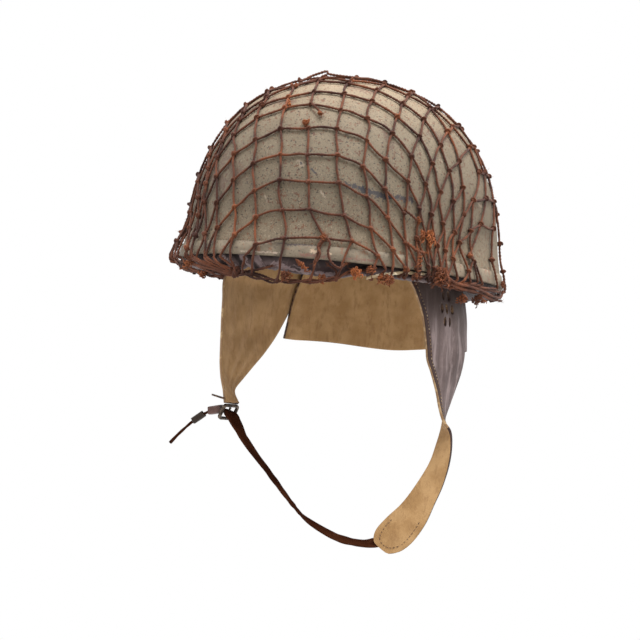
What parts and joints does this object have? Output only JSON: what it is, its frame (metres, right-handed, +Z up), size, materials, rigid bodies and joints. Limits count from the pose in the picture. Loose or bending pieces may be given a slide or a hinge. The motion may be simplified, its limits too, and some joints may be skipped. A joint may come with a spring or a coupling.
{
  "type": "despatch rider helmet",
  "caption": "Domed steel riding helmet with a folded rim, a knotted cord net, a leather brow pad, ear flaps, a neck curtain and a buckled chin strap.",
  "frame": {"origin": "centre of the head's opening, in the plane of the shell's edge, where a head holds the helmet", "axes": "+Z up through the crown, -Y the way the wearer faces, +X the wearer's left"},
  "size_m": [0.2576, 0.2966, 0.3792],
  "materials": {
    "painted_steel": "sandy khaki paint, matt, speckled and chipped",
    "rim_steel": "worn khaki paint over bright and rusted steel",
    "net_cord": "rust-brown twisted cord, frayed at the knots",
    "pad_leather": "grey-mauve leather, wrinkled, worn pale on the folds",
    "cap_leather": "plain brown leather",
    "crown_felt": "dark felt",
    "harness_leather": "dark grey-brown grain outside, tan suede inside",
    "curtain_leather": "dark grey-brown leather",
    "strap_leather": "dark brown strap leather, creased",
    "keeper_leather": "brown leather",
    "buckle_metal": "dull bronze-brown metal"
  },
  "bodies": {
    "root": {"shell": "painted_steel", "rim": "rim_steel", "net": "net_cord", "brow_pad": "pad_leather", "liner_cap": "cap_leather", "crown_pad": "crown_felt", "ear_flap_left": "harness_leather", "ear_flap_right": "harness_leather", "neck_curtain": "curtain_leather", "chin_strap": "strap_leather", "buckle": "buckle_metal", "buckle_pin": "buckle_metal", "strap_keeper": "keeper_leather"}
  },
  "joints": []
}
